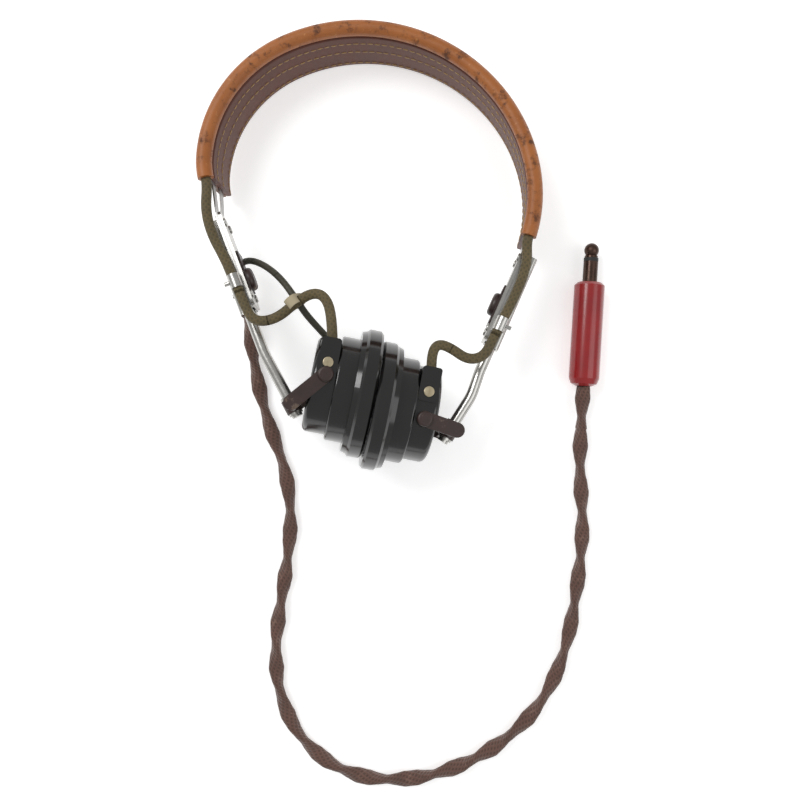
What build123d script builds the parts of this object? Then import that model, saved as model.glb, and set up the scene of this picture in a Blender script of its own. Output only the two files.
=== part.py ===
from build123d import *
import os
from math import atan2, cos, degrees, hypot, radians, sin, sqrt, tan

# Military-pattern radio headset lying on its side. Units are mm.
# The headset is modelled flat: X to the right, Y towards the crown of the headband, Z towards its near side.
# place() then leans it until its rims and the band's far edge rest on the table at Z = 0.

# ---- headband ----
BAND_WIDTH = 30.0
SLEEVE_R = 3.2  # leather sleeve along the near edge
SLEEVE_WALL = 1.15
COVER_T = 1.6  # outer leather
LINING_T = 2.0  # inner leather
SPRING_T = 0.6
SPRING_WIDTH = 5.6
SPRING_GAP = 5.0  # clear space between the two spring strips
SPRING_TAIL = 2.0  # spring past the leather before it turns to the slider
BAND_SLANT = (2.3, 1.0)  # how far the far edge stands off the near edge, in X and Y
ARCH_START = (-69.4, 26.0)
ARCH_HEADING = 103.0  # degrees, along the outer line at its left end
ARCH_ARCS = [(36.6, 16.9), (59.4, 61.1), (76.2, 68.2), (74.0, 38.0), (62.0, 26.9)]  # radius, turn in degrees

# ---- sliders ----
PLATE_LENGTH, PLATE_WIDTH, PLATE_T = 42.0, 16.0, 1.2
GUIDE_START, GUIDE_END = 2.0, 43.5
GUIDE_WALL = 1.0
GUIDE_CLEARANCE = 0.08
RIVET_R, RIVET_HEAD_R, RIVET_HEAD_T = 1.0, 1.8, 0.8
RIVET_INSET = 5.0
CLAMP_R, CLAMP_HEAD_R, CLAMP_HEAD_T = 1.9, 5.0, 2.3
CLAMP_CLEARANCE = 0.05
LEAF_START, LEAF_END, LEAF_WIDTH, LEAF_T = 17.7, 35.0, 9.6, 0.8
CLIP_WALL, CLIP_LENGTH = 0.5, 5.8
CLIP_OFFSET = -2.4  # of a lead's centre from the spring strips, outwards

# ---- rods ----
ROD_R = 2.3
ROD_GAP = 0.1  # between a rod and the spring strips
COLLAR_R, COLLAR_T = 3.2, 1.2
PEEN_R, PEEN_T = 3.0, 1.0
EYE_R, EYE_LENGTH = 3.5, 6.0
SWIVEL_CLEARANCE = 0.05

# ---- receivers, along their axis from the front face backwards ----
RIM_R, RIM_DEPTH, CAP_CHAMFER = 26.75, 6.6, 2.0
FACE_GAP = 0.4  # between the two ear caps
RING_R, RING_DEPTH = 21.85, 7.7
CUP_R, CUP_DEPTH, CUP_ROUND = 19.75, 9.6, 2.2
CASE_WALL = 2.6
CAP_FRONT_T = 2.4
EAR_HOLE_R, EAR_DISH_R = 6.0, 19.0
DIAPHRAGM_T = 0.3
MAGNET_OUTER_R, MAGNET_INNER_R, MAGNET_T = 15.0, 10.0, 5.0
POLE_LENGTH, POLE_WIDTH, POLE_T, POLE_OFFSET = 9.0, 9.0, 2.6, 4.6
COIL_WALL, COIL_LENGTH = 2.0, 7.0
DIAPHRAGM_GAP = 0.5
TERMINAL_R = 1.6
RECEIVER_TILT, RECEIVER_YAW = 10.5, 6.5  # of the common axis: down to the right, and near side to the right
PIVOT_BACK, PIVOT_SIDE = 17.0, -3.0  # of the yoke pivot: behind the rim's middle, and across the axis
PIVOT_R, PIVOT_HEAD_R, PIVOT_HEAD_T = 1.5, 3.1, 1.3
BOSS_R = 3.4
COVER_LENGTH, COVER_WIDTH, COVER_TOP, COVER_BASE = 14.0, 7.8, 19.6, 9.0
COVER_START = 4.0  # of the terminal cover, across from the axis
COVER_SCREW_R, COVER_SCREW_T, COVER_SCREW_AT = 2.1, 0.8, 8.0

# ---- yokes ----
ARM_IN, ARM_T, ARM_WIDTH = 20.9, 1.2, 6.0

# ---- cords ----
LEAD_R, DARK_LEAD_R, CORD_R = 2.0, 1.4, 3.2
LEAD_ENTRY_Z = 14.0
ENTRY_CLEARANCE = 0.5  # round a lead in its terminal cover
LEAD_SEAM = 0.05  # between the link cord's ends and the leads that carry it on
DARK_LEAD_GAP = 0.9  # between the dark lead's end and the cup

# ---- plug ----
FINGER_R, TIP_NECK_R, TIP_LENGTH = 3.175, 2.1, 6.6
FINGER_STUB_R = 2.8  # the finger where it stands in the mouth of the handle
HANDLE_R, HANDLE_LENGTH, HANDLE_WALL = 6.6, 45.4, 1.9
COLLAR_LENGTH = 1.6
FINGER_LENGTH = 17.5

LEAN_Y = -62.5  # the line across the receivers about which the headset leans
NEAR = Vector(0, 0, 1)


class Side:
    """One end of the headset: its slider's top, the way it points, and where its own pieces sit."""

    def __init__(self, name, sign, slider_top, slant, bend_at, rod_points, eye, clamp_at, clip_at, rim_middle):
        self.name, self.sign = name, sign
        self.slider_top, self.slant = slider_top, slant
        self.bend_at, self.rod_points, self.eye = bend_at, rod_points, eye
        self.clamp_at, self.clip_at, self.rim_middle = clamp_at, clip_at, rim_middle
        self.down = Vector(-sign * sin(radians(slant)), -cos(radians(slant)), 0)
        self.slider = Plane(origin=slider_top, x_dir=self.down, z_dir=NEAR * -sign).location
        self.near = -sign  # the slider frame's Z on the near side of the headset


LEFT = Side("left", -1, (-62.6, 14.3, 0), 21.0, 61.0, [(-28.9, -70.1, 0)], (-31.4, -65.6, 0), 29.8, 31.1, (-1.9, -60.6))
RIGHT = Side("right", 1, (65.9, -0.6, 0), 23.8, 54.4, [(43.0, -61.5, 0), (30.8, -80.6, 0)], (33.7, -76.1, 0), 25.9, 34.7,
             (4.7, -65.7))
SIDES = [LEFT, RIGHT]

# Routes of the cords. The leads and the link cord are in the headset's own frame; the main cord lies on the table.
LEFT_LEAD_START = [(-65.4, 24.0, 11.8), (-66.0, 13.5, 11.4), (-63.4, 3.5, 10.9), (-58.4, -5.5, 10.6)]
LEFT_LEAD_END = [(-50.0, -24.8, 10.7), (-46.0, -32.4, 11.0), (-37.0, -31.6, 11.2), (-28.6, -24.4, 11.2),
                 (-22.4, -20.6, 11.4), (-17.2, -21.8, 12.2), (-13.9, -29.6, 14.6)]
RIGHT_LEAD_START = [(64.8, 0.2, 11.8), (65.2, -8.0, 11.0), (61.6, -18.6, 10.7)]
RIGHT_LEAD_END = [(50.7, -39.9, 10.7), (47.2, -46.6, 11.0), (40.6, -48.0, 11.4), (33.6, -43.0, 11.8), (28.6, -41.4, 12.0),
                  (26.0, -45.4, 12.0)]
DARK_LEAD_ROUTE = [(-57.6, -4.5, -10.6), (-52.2, -1.6, -9.4), (-44.5, -5.2, -4.0), (-36.2, -12.6, 3.0),
                   (-29.2, -22.4, 7.2), (-24.2, -30.0, 4.0)]
MAIN_CORD_ROUTE = [(-52.6, -33.0, 6.4), (-50.4, -53.0, 3.3), (-45.0, -74.0, 3.3), (-37.0, -95.0, 3.3),
                   (-34.6, -117.0, 3.3), (-37.6, -142.0, 3.3), (-41.8, -167.0, 3.3), (-41.4, -190.0, 3.3),
                   (-33.0, -211.0, 3.3), (-17.0, -226.0, 3.3), (4.0, -232.4, 3.3), (30.0, -230.0, 3.3),
                   (56.0, -218.0, 3.3), (76.0, -199.0, 3.3), (87.0, -175.0, 3.3), (92.0, -147.0, 3.3),
                   (94.8, -120.0, 3.3), (93.0, -94.0, 3.3), (93.1, -73.0, 6.0)]
PLUG_END = (94.0, -57.1, HANDLE_R)  # middle of the handle's cord end
PLUG_AXIS = Vector(3.8, 62.7, 0)


def heading(angle):
    return Vector(cos(radians(angle)), sin(radians(angle)), 0)


def arch_edges(offset, z, tail=0.0):
    """The arch's line, offset inwards from the outer line, as tangent arcs with a straight tail at each end."""
    away = (BAND_WIDTH / 2 - z) / BAND_WIDTH
    shift = Vector(BAND_SLANT[0] * away, BAND_SLANT[1] * away, z)
    angle = ARCH_HEADING
    at = Vector(*ARCH_START, 0) + heading(angle - 90) * offset + shift
    edges = [Line(at - heading(angle) * tail, at)] if tail else []
    for radius, turn in ARCH_ARCS:
        r = radius - offset
        centre = at + heading(angle - 90) * r
        middle = centre + heading(angle + 90 - turn / 2) * r
        end = centre + heading(angle + 90 - turn) * r
        edges.append(ThreePointArc(at, middle, end))
        at, angle = end, angle - turn
    if tail:
        edges.append(Line(at, at + heading(angle) * tail))
    return edges


def spot(location, point):
    """A point given in a location's own frame, carried out of it."""
    return (location * Pos(*point)).position


def ends_of(edges):
    return edges[0] @ 0, edges[-1] @ 1


def arch_layer(outer, inner, z0, z1, tail=0.0):
    """A strip that follows the arch between two offsets and between two heights, slanted as the band is."""
    a, b = arch_edges(outer, z1, tail), arch_edges(inner, z1, tail)
    (a0, a1), (b0, b1) = ends_of(a), ends_of(b)
    face = make_face(a + [Line(a1, b1)] + b + [Line(b0, a0)])
    fall = Vector(BAND_SLANT[0] / BAND_WIDTH, BAND_SLANT[1] / BAND_WIDTH, -1) * (z1 - z0)
    return extrude(face, amount=fall.length, dir=fall.normalized())


def tube(wire, radius, bore=0.0):
    path = wire if isinstance(wire, Wire) else Wire([e for e in wire])
    plane = Plane(origin=path @ 0, z_dir=path % 0)
    section = plane * Circle(radius)
    if bore:
        section -= plane * Circle(bore)
    return sweep(section, path=path)


def bend_radii(points):
    """As large an arc at each corner as its two runs allow."""
    radii = []
    for a, b, c in zip(points, points[1:], points[2:]):
        before, after = Vector(*b) - Vector(*a), Vector(*c) - Vector(*b)
        turn = radians(before.get_angle(after))
        radii.append(0.45 * min(before.length, after.length) / tan(turn / 2))
    return radii


def route(points):
    return FilletPolyline(*[Vector(*p) for p in points], radius=bend_radii(points))


def cylinder(start, axis, radius, length):
    """A round bar from a point, along an axis."""
    return extrude(Plane(origin=start, z_dir=Vector(*axis)) * Circle(radius), amount=length)


def block(x, y, z):
    """A box from its lowest to its highest value on each axis."""
    size = (x[1] - x[0], y[1] - y[0], z[1] - z[0])
    return Pos((x[0] + x[1]) / 2, (y[0] + y[1]) / 2, (z[0] + z[1]) / 2) * Box(*size)


# ---- headband ----
SPRING_OUT = SLEEVE_R * 2 - LINING_T - SPRING_T
COVER_OUT = SPRING_OUT - COVER_T
SLEEVE_Z = BAND_WIDTH / 2 - SLEEVE_R
LAYER_TOP = SLEEVE_Z - SLEEVE_R * 0.6


def leather_layer(outer, inner):
    """A leather layer, hollowed along its near edge to seat the sleeve."""
    layer = arch_layer(outer, inner, -BAND_WIDTH / 2, LAYER_TOP)
    return layer - tube(arch_edges(SLEEVE_R, SLEEVE_Z), SLEEVE_R)


def spring_to_slider(side, arch_end, z0, z1):
    """The flat run of a spring from the arch to its slider, and on along the slider."""
    half = SPRING_T / 2
    low, high = sorted((z0 * side.near, z1 * side.near))
    along = side.slider * block((0, PLATE_LENGTH), (-half, half), (low, high))
    top = Vector(*side.slider_top)
    start = Vector(arch_end.X, arch_end.Y, 0)
    gap = top - start
    across = Plane(origin=start, x_dir=gap.normalized(), z_dir=NEAR).location
    reach = SPRING_T / 3
    return along + across * block((-reach, gap.length), (-half, half), (z0, z1))


def spring_strip(z0, z1):
    strip = arch_layer(SPRING_OUT, SPRING_OUT + SPRING_T, z0, z1, SPRING_TAIL)
    middle = arch_edges(SPRING_OUT + SPRING_T / 2, (z0 + z1) / 2, SPRING_TAIL)
    for side, end in zip(SIDES, ends_of(middle)):
        strip += spring_to_slider(side, end, z0, z1)
    return strip


def band_springs():
    inner = SPRING_GAP / 2
    outer = inner + SPRING_WIDTH
    holes = [side.slider * rivet for side in SIDES for rivet in rivet_shanks()]
    plates = [side.slider * slider_plate(side) for side in SIDES]
    return [spring_strip(a, b) - holes - plates for a, b in ((inner, outer), (-outer, -inner))]


def make_headband():
    return {
        "band_cover": leather_layer(COVER_OUT, SPRING_OUT),
        "band_lining": leather_layer(SPRING_OUT + SPRING_T, SLEEVE_R * 2),
        "cord_sleeve": tube(arch_edges(SLEEVE_R, SLEEVE_Z), SLEEVE_R, SLEEVE_R - SLEEVE_WALL),
        "band_springs": band_springs(),
        "link_cord": tube(arch_edges(SLEEVE_R, SLEEVE_Z), LEAD_R),
    }


# ---- sliders: X runs down the slider, Y inwards, Z across ----
STRIP = SPRING_T / 2
ROD_Y = -(STRIP + ROD_GAP + ROD_R)
GUIDE_IN = ROD_R + GUIDE_CLEARANCE
FLANGE_T = 0.8
RIVET_Z = (SPRING_GAP + SPRING_WIDTH) / 2
RIVET_X = [RIVET_INSET, PLATE_LENGTH - RIVET_INSET]
LEAF_Y = STRIP + PLATE_T


def rivet_shanks():
    length = STRIP * 2 + FLANGE_T + PLATE_T
    return [cylinder((x, -STRIP - FLANGE_T, z), (0, 1, 0), RIVET_R, length) for x in RIVET_X for z in (-RIVET_Z, RIVET_Z)]


def rivets():
    solids = []
    for shank, (x, z) in zip(rivet_shanks(), [(x, z) for x in RIVET_X for z in (-RIVET_Z, RIVET_Z)]):
        inner = cylinder((x, LEAF_Y, z), (0, 1, 0), RIVET_HEAD_R, RIVET_HEAD_T)
        outer = cylinder((x, -STRIP - FLANGE_T - RIVET_HEAD_T, z), (0, 1, 0), RIVET_HEAD_R, RIVET_HEAD_T)
        solids.append(shank + fillet(inner.edges().group_by(Axis.Y)[-1], RIVET_HEAD_T * 0.6)
                      + fillet(outer.edges().group_by(Axis.Y)[0], RIVET_HEAD_T * 0.6))
    return solids


def slider_plate(side):
    plate = block((0, PLATE_LENGTH), (STRIP, LEAF_Y), (-PLATE_WIDTH / 2, PLATE_WIDTH / 2))
    plate = fillet(plate.edges().filter_by(Axis.Y), 2.5)
    hole = cylinder((side.clamp_at, 0, 0), (0, 1, 0), CLAMP_R + CLAMP_CLEARANCE, 4)
    return plate - hole - rivet_shanks()


def rod_guide():
    """A channel of folded sheet round the rod, with a flange each side under the plate."""
    back = ROD_Y - GUIDE_IN - GUIDE_WALL
    wall = GUIDE_IN + GUIDE_WALL
    channel = block((GUIDE_START, GUIDE_END), (back, -STRIP), (-wall, wall))
    channel = fillet(channel.edges().filter_by(Axis.X).group_by(Axis.Y)[0], 1.5)
    flanges = block((GUIDE_START, GUIDE_END), (-STRIP - FLANGE_T, -STRIP), (-PLATE_WIDTH / 2, PLATE_WIDTH / 2))
    hollow = block((0, GUIDE_END + 1), (ROD_Y - GUIDE_IN, 0), (-GUIDE_IN, GUIDE_IN))
    return channel + flanges - hollow - rivet_shanks()


def clamp_leaf(side):
    leaf = block((LEAF_START, LEAF_END), (LEAF_Y, LEAF_Y + LEAF_T), (-LEAF_WIDTH / 2, LEAF_WIDTH / 2))
    return leaf - cylinder((side.clamp_at, 0, 0), (0, 1, 0), CLAMP_R + CLAMP_CLEARANCE, 9)


def clamp_screw(side):
    """A domed screw whose tip bears on the rod, with a coin slot in its head."""
    seat = LEAF_Y + LEAF_T + CLAMP_CLEARANCE
    head = cylinder((side.clamp_at, seat, 0), (0, 1, 0), CLAMP_HEAD_R, CLAMP_HEAD_T)
    head = fillet(head.edges().group_by(Axis.Y)[-1], CLAMP_HEAD_T * 0.75)
    tip = -STRIP - ROD_GAP / 2
    slot = block((side.clamp_at - 6, side.clamp_at + 6), (seat + CLAMP_HEAD_T - 0.9, seat + 5), (-0.6, 0.6))
    return head + cylinder((side.clamp_at, tip, 0), (0, 1, 0), CLAMP_R, seat - tip + 0.1) - slot


def clip_centre(side, radius, near):
    """Where the slider's clip holds a lead, in the slider's frame."""
    return Vector(side.clip_at, CLIP_OFFSET, near * (PLATE_WIDTH / 2 + CLIP_WALL + radius))


def cord_clip(side, radius, near):
    """A band round a lead, with a foot on the edge of the guide's flange and a pin head outwards."""
    centre = clip_centre(side, radius, near)
    half = CLIP_LENGTH / 2
    ring = cylinder((centre.X - half, centre.Y, centre.Z), (1, 0, 0), radius + CLIP_WALL, CLIP_LENGTH)
    edge = near * PLATE_WIDTH / 2
    foot_z = sorted((edge, centre.Z))
    foot = block((centre.X - half, centre.X + half), (-STRIP - FLANGE_T, -STRIP), foot_z)
    pin = cylinder((centre.X, centre.Y, centre.Z), (0, -1, 0), 0.9, radius + 2.5)
    bore = cylinder((centre.X - half - 1, centre.Y, centre.Z), (1, 0, 0), radius, CLIP_LENGTH + 2)
    return ring + foot + pin - bore


def make_slider(side):
    pieces = {
        "slider_plate": slider_plate(side),
        "rod_guide": rod_guide(),
        "slider_rivets": rivets(),
        "clamp_leaf": clamp_leaf(side),
        "clamp_screw": clamp_screw(side),
        "lead_clip": cord_clip(side, LEAD_R, side.near),
    }
    if side is LEFT:
        pieces["cord_clip"] = cord_clip(side, CORD_R, -side.near)
    return {f"{side.name}_{name}": moved(side.slider, piece) for name, piece in pieces.items()}


def moved(location, piece):
    return [location * p for p in piece] if isinstance(piece, list) else location * piece


# ---- rods ----
def rod_line(side):
    start = spot(side.slider, (1.5, ROD_Y, 0))
    bend = spot(side.slider, (side.bend_at, ROD_Y, 0))
    return [start, bend] + [Vector(*p) for p in side.rod_points]


def rod_end_axis(side):
    points = rod_line(side)
    return (points[-1] - points[-2]).normalized()


def eye_centre(side):
    """The middle of the yoke's eye, on the rod's last straight."""
    end = rod_line(side)[-1]
    axis = rod_end_axis(side)
    return end - axis * (end - Vector(*side.eye)).dot(axis)


def make_rod(side):
    points = rod_line(side)
    rod = tube(FilletPolyline(*points, radius=[28.0, 22.0][:len(points) - 2]), ROD_R)
    rod = chamfer_end(rod, points)
    axis, eye = rod_end_axis(side), eye_centre(side)
    below = eye + axis * (EYE_LENGTH / 2 + SWIVEL_CLEARANCE)
    above = eye - axis * (EYE_LENGTH / 2 + SWIVEL_CLEARANCE + COLLAR_T)
    collar = cylinder(above, axis, COLLAR_R, COLLAR_T) - cylinder(above, axis, ROD_R, COLLAR_T)
    return {
        f"{side.name}_rod": rod + cylinder(below, axis, PEEN_R, PEEN_T),
        f"{side.name}_rod_collar": collar,
    }


def chamfer_end(rod, points):
    """Breaks the edge of the rod's free upper end."""
    top = points[0]
    ring = [e for e in rod.edges() if (e.center() - top).length < 0.2 and e.geom_type == GeomType.CIRCLE]
    return chamfer(ring, 0.6) if ring else rod


# ---- receivers: Z is the axis, to the front; X is towards the near side ----
def receiver_axis():
    tilt, yaw = radians(RECEIVER_TILT), radians(RECEIVER_YAW)
    flat = Vector(cos(tilt), -sin(tilt), 0)
    return flat * cos(yaw) - NEAR * sin(yaw), NEAR * cos(yaw) + flat * sin(yaw)


def receiver_frame(side):
    """Its origin is in the middle of the rim's depth."""
    axis, near = receiver_axis()
    return Plane(origin=(*side.rim_middle, 0), x_dir=near, z_dir=axis * -side.sign).location


def face_shift():
    """Moves each receiver so that the two ear caps face each other with the named gap."""
    axis, _ = receiver_axis()
    between = (Vector(*RIGHT.rim_middle, 0) - Vector(*LEFT.rim_middle, 0)).dot(axis)
    return (between - RIM_DEPTH - FACE_GAP) / 2


RIM_HALF = RIM_DEPTH / 2
CASE_TOP = RIM_HALF - CAP_FRONT_T  # where the case's front rim meets the diaphragm
RING_BACK = -RIM_HALF - CAP_CHAMFER - RING_DEPTH
CUP_BACK = RING_BACK - CUP_DEPTH
UP = {"left": -1, "right": 1}  # the crown's side in each receiver's own Y


def ear_cap():
    """A flanged cap with a listening hole, which grips the case and holds the diaphragm down."""
    outline = [(EAR_HOLE_R, RIM_HALF - 1.2), (EAR_DISH_R, RIM_HALF), (RIM_R - 1.0, RIM_HALF), (RIM_R, RIM_HALF - 1.0),
               (RIM_R, 1.0 - RIM_HALF), (RIM_R - 1.0, -RIM_HALF), (RIM_R - 1.6, -RIM_HALF - CAP_CHAMFER),
               (RING_R, -RIM_HALF - CAP_CHAMFER), (RING_R, CASE_TOP), (EAR_HOLE_R, CASE_TOP)]
    return spun(outline)


def spun(outline):
    """A solid of revolution from (radius, height) corners."""
    line = Polyline(*[(r, 0, z) for r, z in outline], close=True)
    return revolve(make_face(line), axis=Axis.Z)


def case():
    """The stepped cup: neck inside the cap, ring and cup, with bosses for the yoke's pivots."""
    front = CASE_TOP - DIAPHRAGM_T
    inner = CUP_R - CASE_WALL
    outline = [(0, CUP_BACK), (CUP_R, CUP_BACK), (CUP_R, RING_BACK), (RING_R, RING_BACK), (RING_R, front),
               (inner, front), (inner, CUP_BACK + CASE_WALL), (0, CUP_BACK + CASE_WALL)]
    body = spun(outline)
    corner = [e for e in body.edges().filter_by(GeomType.CIRCLE)
              if abs(e.center().Z - CUP_BACK) < 0.01 and abs(e.radius - CUP_R) < 0.01]
    body = fillet(corner, CUP_ROUND)
    step = [e for e in body.edges().filter_by(GeomType.CIRCLE)
            if abs(e.center().Z - RING_BACK) < 0.01 and abs(e.radius - RING_R) < 0.01]
    body = fillet(step, 1.0)
    for x in (-1, 1):
        start = sqrt(inner ** 2 - PIVOT_SIDE ** 2)
        boss = cylinder((x * (start + 0.2), PIVOT_SIDE, -PIVOT_BACK), (x, 0, 0), BOSS_R, ARM_IN - 0.05 - start - 0.2)
        body += boss - Pos(0, 0, CUP_BACK) * Cylinder(inner, 60)
        body -= cylinder((x * 15, PIVOT_SIDE, -PIVOT_BACK), (x, 0, 0), PIVOT_R, 12)
    return body


def pivot_screws():
    """Shouldered screws through the yoke's arms into the case's bosses, one on each side."""
    screws = []
    for x in (-1, 1):
        seat = ARM_IN + ARM_T + SWIVEL_CLEARANCE
        head = cylinder((x * seat, PIVOT_SIDE, -PIVOT_BACK), (x, 0, 0), PIVOT_HEAD_R, PIVOT_HEAD_T)
        head = fillet(head.edges().group_by(Axis.X)[-1 if x > 0 else 0], PIVOT_HEAD_T * 0.7)
        screws.append(head + cylinder((x * 17.2, PIVOT_SIDE, -PIVOT_BACK), (x, 0, 0), PIVOT_R, seat - 17.1))
    return screws


def lead_entry(side):
    """Where the side's lead enters the end of its terminal cover, in the receiver's frame."""
    return Vector(LEAD_ENTRY_Z, UP[side.name] * (COVER_START + COVER_LENGTH), -PIVOT_BACK)


def terminal_cover(side):
    """A flat-topped block on the cup that covers the lead's terminals."""
    up = UP[side.name]
    y = sorted((up * COVER_START, up * (COVER_START + COVER_LENGTH)))
    half = COVER_WIDTH / 2
    cover = block((COVER_BASE, COVER_TOP), y, (-PIVOT_BACK - half, -PIVOT_BACK + half))
    cover = fillet(cover.edges().filter_by(Axis.X), 1.2)
    cover -= Cylinder(CUP_R, 100)
    cover -= cylinder(lead_entry(side), (0, -up, 0), LEAD_R + ENTRY_CLEARANCE, 2.0)
    return cover - Pos(0, PIVOT_SIDE, 0) * cylinder((0, 0, -PIVOT_BACK), (1, 0, 0), BOSS_R, 40) - cover_screw(side)


def cover_screw(side):
    at = (COVER_TOP, UP[side.name] * COVER_SCREW_AT, -PIVOT_BACK)
    head = cylinder(at, (1, 0, 0), COVER_SCREW_R, COVER_SCREW_T)
    head = fillet(head.edges().group_by(Axis.X)[-1], 0.3)
    slot = block((at[0] + 0.35, at[0] + 3), (at[1] - 4, at[1] + 4), (at[2] - 0.3, at[2] + 0.3))
    return head + cylinder(at, (-1, 0, 0), 0.9, 1.2) - slot


def pole_pieces():
    base = CUP_BACK + CASE_WALL + MAGNET_T
    top = CASE_TOP - DIAPHRAGM_T - DIAPHRAGM_GAP
    half = POLE_WIDTH / 2
    return [block(sorted((s * (POLE_OFFSET - POLE_T / 2), s * (POLE_OFFSET + POLE_T / 2))), (-half, half), (base + 1.2, top))
            + block(sorted((s * (POLE_OFFSET - POLE_T / 2), s * (MAGNET_OUTER_R - 1))), (-half, half), (base, base + 1.2))
            for s in (-1, 1)]


def coils():
    base = CUP_BACK + CASE_WALL + MAGNET_T + 1.2
    half = POLE_WIDTH / 2
    found = []
    for s in (-1, 1):
        x = sorted((s * (POLE_OFFSET - POLE_T / 2), s * (POLE_OFFSET + POLE_T / 2)))
        outer = block((x[0] - COIL_WALL, x[1] + COIL_WALL), (-half - COIL_WALL, half + COIL_WALL), (base, base + COIL_LENGTH))
        found.append(fillet(outer.edges().filter_by(Axis.Z), 1.5) - block(x, (-half, half), (base - 1, base + 20)))
    return found


def magnet():
    base = CUP_BACK + CASE_WALL
    ring = Pos(0, 0, base + MAGNET_T / 2) * Cylinder(MAGNET_OUTER_R, MAGNET_T)
    return ring - Pos(0, 0, base) * Cylinder(MAGNET_INNER_R, 40)


def terminals(side):
    """Two posts on the case's floor, under the terminal cover's side of the cup."""
    base = CUP_BACK + CASE_WALL + MAGNET_T
    y = UP[side.name] * (MAGNET_INNER_R + MAGNET_OUTER_R) / 2
    return [Pos(x, y, base + 2.5) * Cylinder(TERMINAL_R, 5) for x in (-3.2, 3.2)]


def diaphragm():
    return Pos(0, 0, CASE_TOP - DIAPHRAGM_T / 2) * Cylinder(RING_R, DIAPHRAGM_T)


def make_receiver(side):
    pieces = {
        "ear_cap": ear_cap(),
        "diaphragm": diaphragm(),
        "receiver_case": case() - cover_screw(side),
        "magnet": magnet(),
        "pole_pieces": pole_pieces(),
        "coils": coils(),
        "terminals": terminals(side),
        "terminal_cover": terminal_cover(side),
        "cover_screw": cover_screw(side),
        "pivot_screws": pivot_screws(),
    }
    frame = seated_frame(side)
    return {f"{side.name}_{name}": moved(frame, piece) for name, piece in pieces.items()}


def seated_frame(side):
    axis, _ = receiver_axis()
    return Pos(*(axis * -side.sign * face_shift())) * receiver_frame(side)


# ---- yokes ----
def make_yoke(side):
    """A sheet strap round the cup: an arm on each side to the pivots, and an eye round the rod's end."""
    frame = seated_frame(side)
    plane = Plane(frame)
    eye = plane.to_local_coords(eye_centre(side))
    tip = plane.to_local_coords(eye_centre(side) + rod_end_axis(side))
    pivot = Vector(0, PIVOT_SIDE, -PIVOT_BACK)
    out = ARM_IN + ARM_T
    gap_y, gap_z = eye.Y - pivot.Y, eye.Z - pivot.Z
    middle = Pos((eye.Y + pivot.Y) / 2, (eye.Z + pivot.Z) / 2) * Rot(0, 0, degrees(atan2(gap_z, gap_y)))
    arm = middle * SlotCenterToCenter(hypot(gap_y, gap_z), ARM_WIDTH)
    arms = extrude(Plane.YZ.offset(ARM_IN) * arm, amount=ARM_T) + extrude(Plane.YZ.offset(-out) * arm, amount=ARM_T)
    turn = degrees(atan2(tip.Z - eye.Z, tip.Y - eye.Y))
    strap = Pos(eye.Y, eye.Z) * Rot(0, 0, turn) * Rectangle(ARM_WIDTH * 0.85, ARM_T)
    yoke = arms + extrude(Plane.YZ.offset(-out) * strap, amount=2 * out)
    for x in (-1, 1):
        yoke -= cylinder((x * (ARM_IN - 1), pivot.Y, pivot.Z), (x, 0, 0), PIVOT_R + SWIVEL_CLEARANCE, ARM_T + 3)
    axis = rod_end_axis(side)
    start = eye_centre(side) - axis * (EYE_LENGTH / 2)
    yoke = frame * yoke
    for end, way in ((start, -1), (start + axis * EYE_LENGTH, 1)):
        yoke -= cylinder(end, axis * way, EYE_R + 1, 4)
    yoke += cylinder(start, axis, EYE_R, EYE_LENGTH)
    return yoke - cylinder(start - axis, axis, ROD_R + SWIVEL_CLEARANCE, EYE_LENGTH + 2)


# ---- leads ----
def lead_start(end):
    """Just past one end of the link cord, 0 for the left and 1 for the right."""
    edge = arch_edges(SLEEVE_R, SLEEVE_Z)[-end]
    return edge @ end + (edge % end) * LEAD_SEAM * (2 * end - 1)


def left_lead_points():
    clip = spot(LEFT.slider, clip_centre(LEFT, LEAD_R, LEFT.near))
    entry = spot(seated_frame(LEFT), lead_entry(LEFT))
    return [lead_start(0), *LEFT_LEAD_START, clip, *LEFT_LEAD_END, entry]


def right_lead_points():
    clip = spot(RIGHT.slider, clip_centre(RIGHT, LEAD_R, RIGHT.near))
    entry = spot(seated_frame(RIGHT), lead_entry(RIGHT))
    return [lead_start(1), *RIGHT_LEAD_START, clip, *RIGHT_LEAD_END, entry]


def dark_lead_points():
    top = spot(LEFT.slider, clip_centre(LEFT, CORD_R, -LEFT.near) - Vector(CLIP_LENGTH / 2 + 1.0, 0, 0))
    entry = spot(seated_frame(LEFT), (-4, -CUP_R - DARK_LEAD_GAP, -PIVOT_BACK - 1.5))
    return [top, *DARK_LEAD_ROUTE, entry]


def make_leads():
    pieces = {}
    for name, points, radius in (("left_lead", left_lead_points(), LEAD_R), ("right_lead", right_lead_points(), LEAD_R),
                                 ("dark_lead", dark_lead_points(), DARK_LEAD_R)):
        points = [tuple(p) for p in points]
        print(name, "radii", [round(r, 1) for r in bend_radii(points)], "points", [tuple(round(c, 2) for c in p) for p in points])
        pieces[name] = tube(route(points), radius)
    olive, dark = Vector(-29.4, -25.0, 11.2), Vector(-29.2, -22.4, 7.0)
    middle, across = (olive + dark) * 0.5, (olive - dark)
    frame = Plane(origin=middle, x_dir=across, z_dir=Vector(0.62, -0.78, 0) + NEAR * 0.0).location
    ring = SlotOverall(across.length + 6.2, 5.6) - SlotOverall(across.length + 4.8, 4.2)
    pieces["thread_tie"] = frame * Pos(0, 0, -2) * extrude(ring, amount=4)
    return pieces


# ---- main cord and plug, on the table ----
def cord_start(place):
    return spot(place * LEFT.slider, clip_centre(LEFT, CORD_R, -LEFT.near))


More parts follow.
